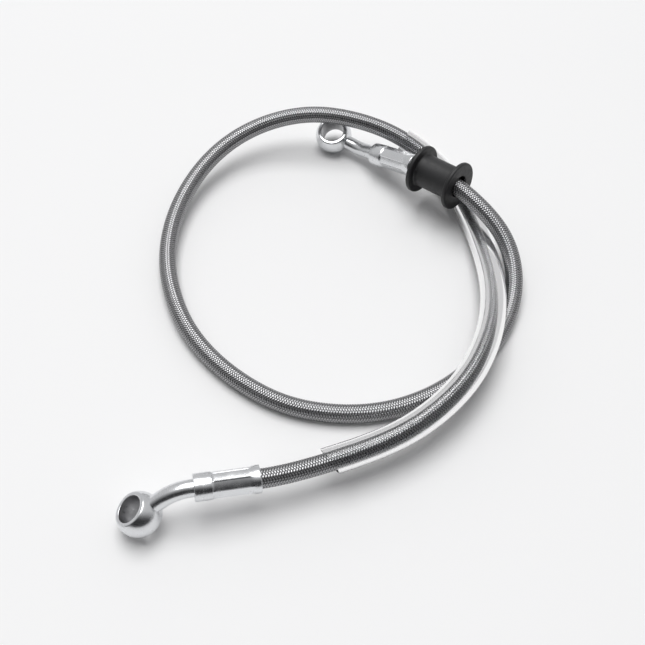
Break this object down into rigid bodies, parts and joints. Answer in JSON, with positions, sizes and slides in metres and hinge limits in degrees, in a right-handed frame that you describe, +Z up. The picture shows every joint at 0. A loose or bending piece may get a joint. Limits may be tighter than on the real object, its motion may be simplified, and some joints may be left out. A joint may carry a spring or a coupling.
{
  "type": "brake hose",
  "caption": "Braided steel brake hose with a banjo eye at each end, crimp ferrules, a clear sleeve and a rubber grommet, laid in a loose loop.",
  "frame": {"origin": "on the surface that the hose lies on, under the middle of the box round both end fittings and the grommet", "axes": "+Z up from the surface; +Y from end a toward end b; +X to the side where the loop's doubled strands and the grommet lie"},
  "size_m": [0.1557, 0.2053, 0.0307],
  "materials": {
    "zinc": "bright zinc plate",
    "braid": "fine woven stainless wire",
    "liner": "smooth milky PTFE",
    "sleeve": "clear soft plastic",
    "rubber": "moulded black rubber"
  },
  "bodies": {
    "root": {"banjo_eye_a": "zinc", "banjo_eye_b": "zinc", "stem_pipe_a": "zinc", "stem_pipe_b": "zinc", "crimp_ferrule_a": "zinc", "crimp_ferrule_b": "zinc", "rubber_grommet": "rubber", "steel_braid": "braid", "ptfe_liner": "liner", "clear_sleeve": "sleeve"}
  },
  "joints": []
}
